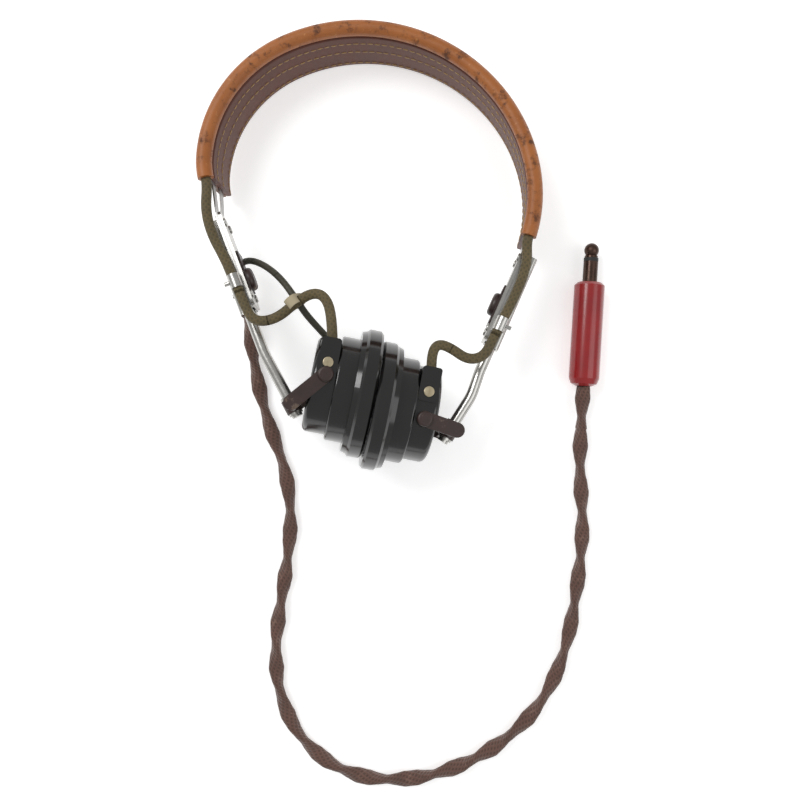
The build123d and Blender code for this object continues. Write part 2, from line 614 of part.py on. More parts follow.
def make_cord(place):
    points = [tuple(cord_start(place)), *MAIN_CORD_ROUTE, PLUG_END]
    print("main_cord radii", [round(r, 1) for r in bend_radii(points)], "start", [round(c, 2) for c in points[0]])
    path = route(points)
    print("main_cord length", round(path.length, 1))
    return {"main_cord": tube(path, CORD_R)}


def make_plug():
    """A single-finger plug in a moulded handle. Z runs from the handle's cord end to the tip."""
    frame = Plane(origin=PLUG_END, x_dir=NEAR, z_dir=PLUG_AXIS).location
    bore = CORD_R + 0.2
    ledge = 12.0
    inside = HANDLE_R - HANDLE_WALL
    handle = spun([(bore, 0), (HANDLE_R - 3.0, 0), (HANDLE_R - 0.9, 1.0), (HANDLE_R, 3.4), (HANDLE_R, HANDLE_LENGTH - 1.2),
                   (HANDLE_R - 1.2, HANDLE_LENGTH), (FINGER_STUB_R, HANDLE_LENGTH), (FINGER_STUB_R, HANDLE_LENGTH - 4),
                   (inside, HANDLE_LENGTH - 4), (inside, ledge), (bore, ledge - 3)])
    finger_top = HANDLE_LENGTH + FINGER_LENGTH - TIP_LENGTH - COLLAR_LENGTH
    liner = FINGER_R - 0.9
    core = 1.2
    finger = spun([(liner, HANDLE_LENGTH - 12), (inside - 0.2, HANDLE_LENGTH - 12), (inside - 0.2, HANDLE_LENGTH - 4.4),
                   (FINGER_STUB_R, HANDLE_LENGTH - 4.4), (FINGER_STUB_R, HANDLE_LENGTH), (FINGER_R, HANDLE_LENGTH),
                   (FINGER_R, finger_top), (liner, finger_top)])
    insulator = spun([(core, HANDLE_LENGTH - 15), (liner, HANDLE_LENGTH - 15), (liner, finger_top),
                      (FINGER_R, finger_top), (FINGER_R, finger_top + COLLAR_LENGTH), (core, finger_top + COLLAR_LENGTH)])
    tip_base = finger_top + COLLAR_LENGTH
    tip_top = tip_base + TIP_LENGTH
    stem = spun([(0, HANDLE_LENGTH - 20), (core, HANDLE_LENGTH - 20), (core, tip_base), (FINGER_R - 0.3, tip_base),
                 (FINGER_R - 0.3, tip_base + 0.9), (TIP_NECK_R, tip_base + 1.6), (TIP_NECK_R, tip_top - FINGER_R),
                 (0, tip_top - FINGER_R)])
    ball = Pos(0, 0, tip_top - FINGER_R) * Sphere(FINGER_R)
    screws = [Pos(0, 0, HANDLE_LENGTH - 8.5) * Rot(0, 90, 0) * Pos(0, 0, 2.9) * Cylinder(1.1, 2.4),
              Pos(0, 0, HANDLE_LENGTH - 18.0) * Rot(0, 90, 0) * Pos(0, 0, 2.4) * Cylinder(1.0, 2.4)]
    pieces = {"plug_handle": handle, "plug_finger": finger - screws[0], "plug_insulator": insulator - screws[0],
              "plug_tip": stem + ball, "plug_screws": screws}
    return {name: moved(frame, piece) for name, piece in pieces.items()}


# ---- the whole headset ----
def build_headset():
    pieces = make_headband()
    for side in SIDES:
        pieces.update(make_slider(side))
        pieces.update(make_rod(side))
        pieces[f"{side.name}_yoke"] = make_yoke(side)
        pieces.update(make_receiver(side))
    pieces.update(make_leads())
    return pieces


def band_crown():
    """The highest Y of the band's far edge."""
    return max((e @ 0.5).Y for e in arch_edges(COVER_OUT, -BAND_WIDTH / 2))


def lean_angle():
    """The lean that brings the band's far edge down to the table with the rims on it."""
    drop = RIM_R - BAND_WIDTH / 2
    return degrees(atan2(drop, band_crown() - LEAN_Y))


def lean():
    return Pos(0, LEAN_Y, 0) * Rot(-lean_angle(), 0, 0) * Pos(0, -LEAN_Y, 0)


def solids_of(piece):
    return [s for p in (piece if isinstance(piece, list) else [piece]) for s in p.solids()]


def lowest(pieces):
    return min(s.bounding_box().min.Z for piece in pieces for s in solids_of(piece))


def placement(pieces):
    """Leans the headset and stands it on the table."""
    leaned = lean()
    rims = [leaned * pieces[f"{side.name}_ear_cap"] for side in SIDES]
    return Pos(0, 0, -lowest(rims)) * leaned


def main():
    os.makedirs("parts", exist_ok=True)
    headset = build_headset()
    place = placement(headset)
    print("place", place.position, place.orientation)
    pieces = {name: moved(place, piece) for name, piece in headset.items()}
    pieces.update(make_cord(place))
    pieces.update(make_plug())
    for name, piece in pieces.items():
        export_step(Compound(children=solids_of(piece)), f"parts/{name}.step")
    return place


if __name__ == "__main__":
    main()
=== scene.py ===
"""Finishes a military-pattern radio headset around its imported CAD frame. Lengths are in metres."""
import bmesh
import bpy
import random
from math import cos, pi, radians, sin
from mathutils import Matrix, Vector


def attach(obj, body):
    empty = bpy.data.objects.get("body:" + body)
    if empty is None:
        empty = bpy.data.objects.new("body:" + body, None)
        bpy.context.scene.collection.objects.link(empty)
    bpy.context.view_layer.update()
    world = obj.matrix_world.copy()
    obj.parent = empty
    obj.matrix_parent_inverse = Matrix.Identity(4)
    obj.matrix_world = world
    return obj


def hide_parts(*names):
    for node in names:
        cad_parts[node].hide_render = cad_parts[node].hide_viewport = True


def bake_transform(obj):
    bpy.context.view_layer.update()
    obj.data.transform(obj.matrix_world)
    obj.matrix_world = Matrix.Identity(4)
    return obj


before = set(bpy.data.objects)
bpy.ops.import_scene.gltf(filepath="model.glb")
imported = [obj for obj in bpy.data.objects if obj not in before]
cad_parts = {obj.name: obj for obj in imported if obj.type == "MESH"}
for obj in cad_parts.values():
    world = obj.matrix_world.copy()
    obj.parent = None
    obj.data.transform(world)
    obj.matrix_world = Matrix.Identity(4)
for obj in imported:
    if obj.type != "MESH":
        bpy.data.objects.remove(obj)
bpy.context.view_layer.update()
random.seed(7)
MM = 0.001

# ---- sizes shared with the CAD, in mm, in the headset's own flat frame ----
BAND_WIDTH = 30.0
SLEEVE_R = 3.2
BAND_SLANT = (2.3, 1.0)
ARCH_START = (-69.4, 26.0)
ARCH_HEADING = 103.0
ARCH_ARCS = [(36.6, 16.9), (59.4, 61.1), (76.2, 68.2), (74.0, 38.0), (62.0, 26.9)]
COVER_OUT, COVER_IN = 2.2, 3.8
LINING_OUT, LINING_IN = 4.4, 6.4
LEAN = 4.36243  # degrees, crown down
SEAT = (0.0, -0.181, 22.2551)
LEFT_LEAD = [(-66.04, 26.83, 11.8), (-65.4, 24.0, 11.8), (-66.0, 13.5, 11.4), (-63.4, 3.5, 10.9),
             (-58.4, -5.5, 10.6), (-53.7, -15.59, 10.5), (-50.0, -24.8, 10.7), (-46.0, -32.4, 11.0),
             (-37.0, -31.6, 11.2), (-28.6, -24.4, 11.2), (-22.4, -20.6, 11.4), (-17.2, -21.8, 12.2), (-13.9, -29.6, 14.6),
             (-13.49, -41.0, 15.81)]
RIGHT_LEAD = [(65.61, 2.73, 11.8), (64.8, 0.2, 11.8), (65.2, -8.0, 11.0), (61.6, -18.6, 10.7),
              (54.09, -33.32, 10.5), (50.7, -39.9, 10.7), (47.2, -46.6, 11.0), (40.6, -48.0, 11.4),
              (33.6, -43.0, 11.8), (28.6, -41.4, 12.0),
              (26.0, -45.4, 12.0), (25.97, -52.2, 12.01)]
DARK_LEAD = [(-55.09, -11.95, -11.7), (-57.6, -4.5, -10.6), (-52.2, -1.6, -9.4), (-44.5, -5.2, -4.0),
             (-36.2, -12.6, 3.0), (-29.2, -22.4, 7.2), (-24.2, -30.0, 4.0), (-16.0, -38.0, -1.9)]
MAIN_CORD = [(-53.7, -16.62, 11.78), (-52.6, -33.0, 6.4), (-50.4, -53.0, 3.3), (-45.0, -74.0, 3.3),
             (-37.0, -95.0, 3.3), (-34.6, -117.0, 3.3), (-37.6, -142.0, 3.3), (-41.8, -167.0, 3.3),
             (-41.4, -190.0, 3.3), (-33.0, -211.0, 3.3), (-17.0, -226.0, 3.3),
             (4.0, -232.4, 3.3), (30.0, -230.0, 3.3),
             (56.0, -218.0, 3.3), (76.0, -199.0, 3.3), (87.0, -175.0, 3.3), (92.0, -147.0, 3.3),
             (94.8, -120.0, 3.3),
             (93.0, -94.0, 3.3), (93.1, -73.0, 6.0), (94.0, -57.1, 6.6)]


def place():
    """The headset's own flat frame, in mm, carried to where it leans on the table, in metres."""
    return Matrix.Scale(MM, 4) @ Matrix.Translation(SEAT) @ Matrix.Rotation(radians(-LEAN), 4, "X")


# ---- shader helpers ----
class Nodes:
    """A node tree with short calls: each returns the socket that it puts out."""

    def __init__(self, tree):
        self.tree = tree

    def new(self, kind, **settings):
        node = self.tree.nodes.new(kind)
        for name, value in settings.items():
            setattr(node, name, value)
        return node

    def feed(self, socket, value):
        if isinstance(value, bpy.types.NodeSocket):
            self.tree.links.new(value, socket)
        elif value is not None:
            socket.default_value = value

    def math(self, operation, a, b=None, c=None, clamp=False):
        node = self.new("ShaderNodeMath", operation=operation, use_clamp=clamp)
        for socket, value in zip(node.inputs, (a, b, c)):
            self.feed(socket, value)
        return node.outputs[0]

    def noise(self, where, scale, detail=4.0, roughness=0.55, distortion=0.0):
        node = self.new("ShaderNodeTexNoise")
        self.feed(node.inputs["Vector"], where)
        settings = {"Scale": scale, "Detail": detail, "Roughness": roughness, "Distortion": distortion}
        for name, value in settings.items():
            self.feed(node.inputs[name], value)
        return node.outputs["Fac"]

    def steps(self, value, low, high):
        """0 below low, 1 above high."""
        node = self.new("ShaderNodeMapRange", interpolation_type="SMOOTHSTEP")
        self.feed(node.inputs["Value"], value)
        self.feed(node.inputs["From Min"], low)
        self.feed(node.inputs["From Max"], high)
        return node.outputs["Result"]

    def mix(self, amount, a, b):
        node = self.new("ShaderNodeMix", data_type="RGBA")
        self.feed(node.inputs[0], amount)
        self.feed(node.inputs[6], a)
        self.feed(node.inputs[7], b)
        return node.outputs[2]

    def bump(self, height, strength, distance, normal=None):
        node = self.new("ShaderNodeBump")
        self.feed(node.inputs["Strength"], strength)
        self.feed(node.inputs["Distance"], distance)
        self.feed(node.inputs["Height"], height)
        self.feed(node.inputs["Normal"], normal)
        return node.outputs["Normal"]

    def place(self):
        return self.new("ShaderNodeTexCoord").outputs["Object"]

    def along(self):
        """A piece's own map: metres along it, and once round it."""
        split = self.new("ShaderNodeSeparateXYZ")
        self.feed(split.inputs[0], self.new("ShaderNodeTexCoord").outputs["UV"])
        return split.outputs[0], split.outputs[1]

    def stretched(self, where, scale):
        node = self.new("ShaderNodeMapping")
        self.feed(node.inputs["Vector"], where)
        node.inputs["Scale"].default_value = scale
        return node.outputs[0]


def colour(r, g, b):
    return (r, g, b, 1.0)


def effect(name, inputs, build):
    """A shader node group: inputs are (name, kind, default), and build returns {name: (kind, socket)}."""
    tree = bpy.data.node_groups.new(name, "ShaderNodeTree")
    for label, kind, default in inputs:
        socket = tree.interface.new_socket(label, in_out="INPUT", socket_type=kind)
        socket.default_value = default
    nodes = Nodes(tree)
    start = nodes.new("NodeGroupInput")
    made = build(nodes, start.outputs)
    for label, (kind, socket) in made.items():
        tree.interface.new_socket(label, in_out="OUTPUT", socket_type=kind)
    end = nodes.new("NodeGroupOutput")
    for label, (kind, socket) in made.items():
        nodes.feed(end.inputs[label], socket)
    return tree


FLOAT = "NodeSocketFloat"


def wear_effect():
    """Blotches and fine scratches: a worn mask and a scratch height."""
    def build(n, given):
        where = n.place()
        large = n.noise(where, given["Blotch scale"], 6.0, 0.62)
        fine = n.noise(n.stretched(where, (1.0, 1.0, 1.0)), given["Grain scale"], 5.0, 0.7)
        broken = n.math("MULTIPLY", n.math("SUBTRACT", fine, 0.5), 0.35)
        worn = n.steps(n.math("ADD", large, broken), 0.52, 0.66)
        return {"Worn": (FLOAT, worn), "Grain": (FLOAT, fine), "Blotch": (FLOAT, large)}
    return effect("worn_surface", [("Blotch scale", FLOAT, 60.0), ("Grain scale", FLOAT, 1500.0)], build)


def braid_effect():
    """Crossing strands over the piece's own map: height of the strands and a mask of painted shade in the
    gaps between them.
    """
    def build(n, given):
        u, v = n.along()
        turns = n.math("MULTIPLY", u, given["Pitch"])
        round_it = n.math("MULTIPLY", v, given["Strands"])
        one = n.math("SINE", n.math("MULTIPLY", n.math("ADD", turns, round_it), 2 * pi))
        two = n.math("SINE", n.math("MULTIPLY", n.math("SUBTRACT", turns, round_it), 2 * pi))
        weave = n.math("MAXIMUM", one, two)
        cross = n.math("MULTIPLY", one, two)
        height = n.math("ADD", n.math("MULTIPLY", weave, 0.5), n.math("MULTIPLY", cross, 0.25))
        # the second output is painted shade: it marks the recesses between strands so that they can be
        # darkened in colour
        return {"Height": (FLOAT, height), "Gap": (FLOAT, n.steps(weave, 0.35, -0.2))}
    return effect("braided_cotton", [("Pitch", FLOAT, 500.0), ("Strands", FLOAT, 8.0)], build)


WEAR = wear_effect()
BRAID = braid_effect()


def grouped(n, tree, **values):
    node = n.new("ShaderNodeGroup")
    node.node_tree = tree
    for name, value in values.items():
        n.feed(node.inputs[name.replace("_", " ")], value)
    return node.outputs


def material(name, paint):
    """A Principled material: paint returns its sockets' values."""
    made = bpy.data.materials.new(name)
    made.use_nodes = True
    made.node_tree.nodes.clear()
    n = Nodes(made.node_tree)
    shader, out = n.new("ShaderNodeBsdfPrincipled"), n.new("ShaderNodeOutputMaterial")
    for socket, value in paint(n).items():
        n.feed(shader.inputs[socket], value)
    n.feed(out.inputs["Surface"], shader.outputs[0])
    return made


def tan_leather(n):
    wear = grouped(n, WEAR, Blotch_scale=75.0, Grain_scale=1400.0)
    where = n.place()
    tone = n.mix(wear["Blotch"], colour(0.24, 0.07, 0.016), colour(0.47, 0.165, 0.04))
    scuffs = n.steps(n.noise(n.stretched(where, (1.0, 1.0, 0.5)), 210.0, 6.0, 0.68), 0.51, 0.68)
    tone = n.mix(n.math("MULTIPLY", scuffs, 0.85), tone, colour(0.055, 0.02, 0.010))
    pale = n.steps(n.noise(where, 420.0, 4.0, 0.6), 0.62, 0.72)
    tone = n.mix(n.math("MULTIPLY", pale, 0.5), tone, colour(0.56, 0.25, 0.09))
    cracks = n.noise(n.stretched(where, (1.0, 1.0, 2.2)), 1300.0, 6.0, 0.7)
    return {"Base Color": tone, "Roughness": n.math("ADD", 0.42, n.math("MULTIPLY", scuffs, 0.25)),
            "Specular IOR Level": 0.4, "Normal": n.bump(cracks, 0.35, 0.0004)}


def lining_leather(n):
    wear = grouped(n, WEAR, Blotch_scale=55.0, Grain_scale=1700.0)
    tone = n.mix(wear["Blotch"], colour(0.055, 0.015, 0.009), colour(0.155, 0.044, 0.022))
    tone = n.mix(n.math("MULTIPLY", wear["Worn"], 0.45), tone, colour(0.045, 0.02, 0.016))
    return {"Base Color": tone, "Roughness": 0.48, "Specular IOR Level": 0.4,
            "Normal": n.bump(wear["Grain"], 0.3, 0.0003)}


def cover_leather(n):
    wear = grouped(n, WEAR, Blotch_scale=48.0, Grain_scale=1500.0)
    tone = n.mix(wear["Blotch"], colour(0.10, 0.033, 0.012), colour(0.25, 0.085, 0.025))
    tone = n.mix(n.math("MULTIPLY", wear["Worn"], 0.6), tone, colour(0.08, 0.034, 0.02))
    return {"Base Color": tone, "Roughness": 0.5, "Specular IOR Level": 0.4,
            "Normal": n.bump(wear["Grain"], 0.35, 0.0003)}


def cream_thread(n):
    fray = n.noise(n.place(), 2500.0, 3.0)
    return {"Base Color": n.mix(fray, colour(0.22, 0.125, 0.05), colour(0.55, 0.36, 0.16)), "Roughness": 0.85,
            "Sheen Weight": 0.2, "Normal": n.bump(fray, 0.4, 0.0002)}


def polished_steel(n):
    where = n.place()
    smudge = n.noise(where, 160.0, 6.0, 0.65)
    scratch = n.noise(n.stretched(where, (0.35, 1.0, 1.0)), 2600.0, 3.0, 0.7)
    spots = n.steps(n.noise(where, 900.0, 5.0, 0.7), 0.66, 0.74)
    tone = n.mix(smudge, colour(0.36, 0.35, 0.33), colour(0.62, 0.61, 0.58))
    return {"Base Color": n.mix(n.math("MULTIPLY", spots, 0.7), tone, colour(0.16, 0.11, 0.07)),
            "Metallic": n.math("SUBTRACT", 1.0, n.math("MULTIPLY", spots, 0.6)),
            "Roughness": n.math("ADD", 0.16, n.math("MULTIPLY", smudge, 0.22)),
            "Normal": n.bump(scratch, 0.06, 0.0001)}


def spring_steel(n):
    smudge = n.noise(n.place(), 210.0, 6.0, 0.65)
    return {"Base Color": n.mix(smudge, colour(0.25, 0.25, 0.25), colour(0.5, 0.49, 0.47)), "Metallic": 1.0,
            "Roughness": n.math("ADD", 0.25, n.math("MULTIPLY", smudge, 0.2))}


def brown_enamel(n):
    wear = grouped(n, WEAR, Blotch_scale=220.0, Grain_scale=2200.0)
    tone = n.mix(wear["Blotch"], colour(0.016, 0.009, 0.008), colour(0.05, 0.026, 0.022))
    bare = n.steps(n.math("ADD", wear["Blotch"], n.math("MULTIPLY", wear["Grain"], 0.25)), 0.74, 0.8)
    return {"Base Color": n.mix(n.math("MULTIPLY", bare, 0.8), tone, colour(0.20, 0.15, 0.12)),
            "Metallic": n.math("MULTIPLY", bare, 0.8), "Roughness": 0.36,
            "Normal": n.bump(wear["Grain"], 0.12, 0.0002)}


def black_bakelite(n):
    wear = grouped(n, WEAR, Blotch_scale=90.0, Grain_scale=3000.0)
    haze = n.math("MULTIPLY", wear["Worn"], 0.09)
    dust = n.steps(n.noise(n.place(), 3800.0, 2.0, 0.6), 0.72, 0.78)
    tone = n.mix(wear["Blotch"], colour(0.004, 0.0037, 0.0037), colour(0.010, 0.009, 0.0085))
    return {"Base Color": n.mix(n.math("MULTIPLY", dust, 0.35), tone, colour(0.16, 0.14, 0.12)),
            "Roughness": n.math("ADD", 0.16, haze), "Specular IOR Level": 0.55, "Coat Weight": 0.25,
            "Coat Roughness": 0.08, "Normal": n.bump(wear["Grain"], 0.03, 0.0001)}


def tarnished_brass(n):
    wear = grouped(n, WEAR, Blotch_scale=260.0, Grain_scale=2600.0)
    tone = n.mix(wear["Blotch"], colour(0.16, 0.10, 0.06), colour(0.42, 0.31, 0.17))
    roughness = n.math("ADD", 0.28, n.math("MULTIPLY", wear["Worn"], 0.2))
    return {"Base Color": tone, "Metallic": 0.9, "Roughness": roughness}


def brown_plug_metal(n):
    wear = grouped(n, WEAR, Blotch_scale=240.0, Grain_scale=2600.0)
    tone = n.mix(wear["Blotch"], colour(0.03, 0.018, 0.014), colour(0.10, 0.055, 0.04))
    roughness = n.math("ADD", 0.26, n.math("MULTIPLY", wear["Worn"], 0.2))
    return {"Base Color": tone, "Metallic": 0.75, "Roughness": roughness}


def screw_brass(n):
    wear = grouped(n, WEAR, Blotch_scale=500.0, Grain_scale=4000.0)
    tone = n.mix(wear["Blotch"], colour(0.36, 0.29, 0.18), colour(0.68, 0.6, 0.42))
    return {"Base Color": tone, "Metallic": 0.85, "Roughness": 0.32}


def red_moulding(n):
    wear = grouped(n, WEAR, Blotch_scale=110.0, Grain_scale=2400.0)
    tone = n.mix(wear["Blotch"], colour(0.20, 0.006, 0.009), colour(0.36, 0.012, 0.014))
    pits = n.steps(n.noise(n.place(), 1900.0, 3.0, 0.6), 0.68, 0.76)
    tone = n.mix(n.math("MULTIPLY", pits, 0.5), tone, colour(0.14, 0.01, 0.01))
    return {"Base Color": tone, "Roughness": 0.22, "Specular IOR Level": 0.5, "Coat Weight": 0.3,
            "Coat Roughness": 0.12, "Normal": n.bump(wear["Grain"], 0.05, 0.0001)}


def olive_braid(n):
    weave = grouped(n, BRAID, Pitch=420.0, Strands=6.0)
    dirt = n.noise(n.place(), 130.0, 5.0, 0.6)
    tone = n.mix(dirt, colour(0.055, 0.040, 0.015), colour(0.16, 0.118, 0.046))
    # painted shade: the gaps between the strands are darkened in colour
    tone = n.mix(n.math("MULTIPLY", weave["Gap"], 0.55), tone, colour(0.04, 0.033, 0.016))
    return {"Base Color": tone, "Roughness": 0.7, "Sheen Weight": 0.15,
            "Normal": n.bump(weave["Height"], 0.6, 0.0003)}


def brown_braid(n):
    weave = grouped(n, BRAID, Pitch=360.0, Strands=10.0)
    where = n.place()
    dirt = n.noise(where, 95.0, 6.0, 0.65)
    tone = n.mix(dirt, colour(0.065, 0.03, 0.022), colour(0.20, 0.105, 0.078))
    faded = n.steps(n.noise(where, 300.0, 4.0, 0.6), 0.56, 0.72)
    tone = n.mix(n.math("MULTIPLY", faded, 0.45), tone, colour(0.27, 0.165, 0.125))
    # painted shade: the gaps between the strands are darkened in colour
    tone = n.mix(n.math("MULTIPLY", weave["Gap"], 0.6), tone, colour(0.045, 0.025, 0.02))
    fuzz = n.noise(where, 5200.0, 2.0)
    normal = n.bump(fuzz, 0.25, 0.0003, n.bump(weave["Height"], 0.75, 0.0004))
    return {"Base Color": tone, "Roughness": 0.88, "Sheen Weight": 0.3, "Normal": normal}


def dark_braid(n):
    weave = grouped(n, BRAID, Pitch=520.0, Strands=5.0)
    dirt = n.noise(n.place(), 150.0, 5.0, 0.6)
    tone = n.mix(dirt, colour(0.022, 0.021, 0.014), colour(0.06, 0.055, 0.032))
    return {"Base Color": tone, "Roughness": 0.55, "Normal": n.bump(weave["Height"], 0.4, 0.0002)}


def plain(base, roughness, metallic):
    def paint(n):
        wear = grouped(n, WEAR, Blotch_scale=200.0, Grain_scale=2500.0)
        darker = colour(*[c * 0.6 for c in base])
        tone = n.mix(wear["Blotch"], darker, colour(*base))
        return {"Base Color": tone, "Roughness": roughness, "Metallic": metallic}
    return paint


LOOKS = {name: material(name, paint) for name, paint in {
    "tan_leather": tan_leather, "lining_leather": lining_leather, "cover_leather": cover_leather,
    "cream_thread": cream_thread, "polished_steel": polished_steel, "spring_steel": spring_steel,
    "brown_enamel": brown_enamel, "black_bakelite": black_bakelite, "tarnished_brass": tarnished_brass,
    "brown_plug_metal": brown_plug_metal, "screw_brass": screw_brass, "red_moulding": red_moulding,
    "olive_braid": olive_braid, "brown_braid": brown_braid, "dark_braid": dark_braid,
    "iron": plain((0.2, 0.2, 0.21), 0.5, 1.0), "copper_wire": plain((0.5, 0.2, 0.09), 0.4, 0.8),
    "black_fibre": plain((0.02, 0.02, 0.02), 0.6, 0.0)}.items()}

CAD_LOOKS = {
    "slider_plate": "polished_steel", "rod_guide": "polished_steel", "slider_rivets": "polished_steel",
    "clamp_leaf": "brown_enamel", "clamp_screw": "brown_enamel", "lead_clip": "polished_steel",
    "cord_clip": "polished_steel", "rod": "polished_steel", "rod_collar": "polished_steel",
    "yoke": "brown_enamel", "ear_cap": "black_bakelite", "diaphragm": "spring_steel",
    "receiver_case": "black_bakelite", "magnet": "iron", "pole_pieces": "iron", "coils": "copper_wire",
    "terminals": "tarnished_brass", "terminal_cover": "black_bakelite",
    "cover_screw": "screw_brass", "pivot_screws": "brown_enamel", "plug_finger": "brown_plug_metal",
    "plug_tip": "brown_plug_metal", "plug_insulator": "black_fibre", "plug_handle": "red_moulding",
    "plug_screws": "tarnished_brass"}


def dress_cad():
    """Gives each CAD node that stays its finish."""
    for name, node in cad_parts.items():
        kind = name.split("_", 1)[1] if name.startswith(("left_", "right_")) else name
        if kind in CAD_LOOKS:
            node.data.materials.clear()
            node.data.materials.append(LOOKS[CAD_LOOKS[kind]])


# ---- meshes ----
def piece(name, bm, look, smooth=40.0):
    """Makes an object of a bmesh, shades it smooth up to an angle, and gives it its finish."""
    mesh = bpy.data.meshes.new(name)
    bmesh.ops.recalc_face_normals(bm, faces=bm.faces)
    for edge in bm.edges:
        edge.smooth = len(edge.link_faces) < 2 or edge.calc_face_angle(0.0) < radians(smooth)
    for face in bm.faces:
        face.smooth = True
    bm.to_mesh(mesh)
    bm.free()
    made = bpy.data.objects.new(name, mesh)
    bpy.context.scene.collection.objects.link(made)
    mesh.materials.append(LOOKS[look])
    return made


def arch_profile(bm, corners):
    """A closed ring at the arch's start: corners are (inwards offset, height)."""
    heading = radians(ARCH_HEADING)
    side = Vector((sin(heading), -cos(heading), 0))
    start = Vector((*ARCH_START, 0))
    ring = [bm.verts.new(start + side * offset + Vector((0, 0, z))) for offset, z in corners]
    return [bm.edges.new((a, b)) for a, b in zip(ring, ring[1:] + ring[:1])]


def sweep_arch(corners, step=2.0):
    """Spins a ring along the arch's arcs, closes its ends and slants it."""
    bm = bmesh.new()
    edges = arch_profile(bm, corners)
    first = list(edges)
    at, angle = Vector((*ARCH_START, 0)), ARCH_HEADING
    for radius, turn in ARCH_ARCS:
        way = radians(angle)
        centre = at + Vector((sin(way), -cos(way), 0)) * radius
        spun = bmesh.ops.spin(bm, geom=edges, cent=centre, axis=(0, 0, -1), dvec=(0, 0, 0),
                              angle=radians(turn), steps=max(2, round(turn / step)),
                              use_merge=False, use_duplicate=False)
        edges = [g for g in spun["geom_last"] if isinstance(g, bmesh.types.BMEdge)]
        angle -= turn
        way = radians(angle)
        at = centre - Vector((sin(way), -cos(way), 0)) * radius
    for ring in (first, edges):
        bmesh.ops.holes_fill(bm, edges=ring, sides=0)
    slant(bm)
    return bm


def slant(bm):
    for v in bm.verts:
        away = (BAND_WIDTH / 2 - v.co.z) / BAND_WIDTH
        v.co += Vector((BAND_SLANT[0] * away, BAND_SLANT[1] * away, 0))


def rounded(x0, x1, z0, z1, radius, steps=3):
    """Corners of a rounded rectangle."""
    found = []
    for cx, cz, start in ((x1 - radius, z1 - radius, 0), (x0 + radius, z1 - radius, 90),
                          (x0 + radius, z0 + radius, 180), (x1 - radius, z0 + radius, 270)):
        for i in range(steps + 1):
            a = radians(start + 90 * i / steps)
            found.append((cx + radius * cos(a), cz + radius * sin(a)))
    return found


def ring_of(cx, cz, radius, count=20):
    turns = [2 * pi * i / count for i in range(count)]
    return [(cx + radius * cos(t), cz + radius * sin(t)) for t in turns]


def arch_point(share, offset, z):
    """A point along the arch, its direction and the way inwards, at a share of the whole turn's length."""
    lengths = [radius * radians(turn) for radius, turn in ARCH_ARCS]
    left = share * sum(lengths)
    at, angle = Vector((*ARCH_START, 0)), ARCH_HEADING
    for (radius, turn), length in zip(ARCH_ARCS, lengths):
        done = min(1.0, left / length)
        way = radians(angle)
        centre = at + Vector((sin(way), -cos(way), 0)) * radius
        angle -= turn * done
        way = radians(angle)
        inward = Vector((sin(way), -cos(way), 0))
        at = centre - inward * radius
        left -= length
        if done < 1.0:
            break
    away = (BAND_WIDTH / 2 - z) / BAND_WIDTH
    shift = Vector((BAND_SLANT[0] * away, BAND_SLANT[1] * away, z))
    return at + inward * offset + shift, Vector((cos(way), sin(way), 0)), inward


def bend_with_band(made):
    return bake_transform(made)


def placed(bm):
    bmesh.ops.transform(bm, matrix=place(), verts=bm.verts)
    return bm


SLEEVE_Z = BAND_WIDTH / 2 - SLEEVE_R
ARCH_LENGTH = sum(radius * radians(turn) for radius, turn in ARCH_ARCS)


def make_leather():
    low = -BAND_WIDTH / 2
    cover_section = rounded(COVER_OUT, COVER_IN + 0.25, low, SLEEVE_Z, 0.7)
    lining_section = rounded(LINING_OUT - 0.2, LINING_IN, low, SLEEVE_Z - 2.2, 0.8)
    sleeve_section = ring_of(SLEEVE_R, SLEEVE_Z, SLEEVE_R, 28)
    cover = piece("band_cover_leather", placed(sweep_arch(cover_section)), "cover_leather", 60)
    lining = piece("band_lining_leather", placed(sweep_arch(lining_section)), "lining_leather",
                   60)
    sleeve = piece("sleeve_leather", placed(sweep_arch(sleeve_section)), "tan_leather",
                   60)
    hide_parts("band_cover")
    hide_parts("band_lining")
    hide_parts("cord_sleeve", "link_cord")
    for made in (cover, lining, sleeve):
        bend_with_band(made)


STITCH_PITCH, STITCH_LENGTH, STITCH_R = 3.3, 2.5, 0.36
STITCH_ROWS = (4.6, -2.6, -12.6)  # heights on the band


def stitch(bm, at, along, out):
    """One thread stitch: a low-poly capsule lying on the leather."""
    across = along.cross(out).normalized()
    turn = Matrix((along, across, out)).transposed().to_4x4()
    size = Matrix.Diagonal((STITCH_LENGTH / 2, STITCH_R, STITCH_R * 0.8, 1))
    made = bmesh.ops.create_uvsphere(bm, u_segments=6, v_segments=5, radius=1.0)
    bmesh.ops.rotate(bm, verts=made["verts"], cent=(0, 0, 0), matrix=Matrix.Rotation(radians(90), 3, "Y"))
    bmesh.ops.transform(bm, matrix=Matrix.Translation(at) @ turn @ size, verts=made["verts"])


def make_stitching():
    faces = (("lining_stitches", LINING_IN + 0.05, 1), ("cover_stitches", COVER_OUT - 0.05, -1))
    for name, offset, way in faces:
        bm = bmesh.new()
        count = int(ARCH_LENGTH / STITCH_PITCH)
        for z in STITCH_ROWS:
            for i in range(count):
                share = (i + 0.5 + random.uniform(-0.06, 0.06)) / count
                at, along, inward = arch_point(share, offset, z + random.uniform(-0.12, 0.12))
                stitch(bm, at, along, inward * way)
        made = piece(name, placed(bm), "cream_thread", 180)
        bend_with_band(made)


def make_springs():
    """The band's springs are the CAD's own, copied."""
    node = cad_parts["band_springs"]
    bm = bmesh.new()
    bm.from_mesh(node.data)
    bmesh.ops.remove_doubles(bm, verts=bm.verts, dist=1e-6)
    made = piece("band_spring_strips", bm, "spring_steel", 30)
    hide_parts("band_springs")
    bend_with_band(made)


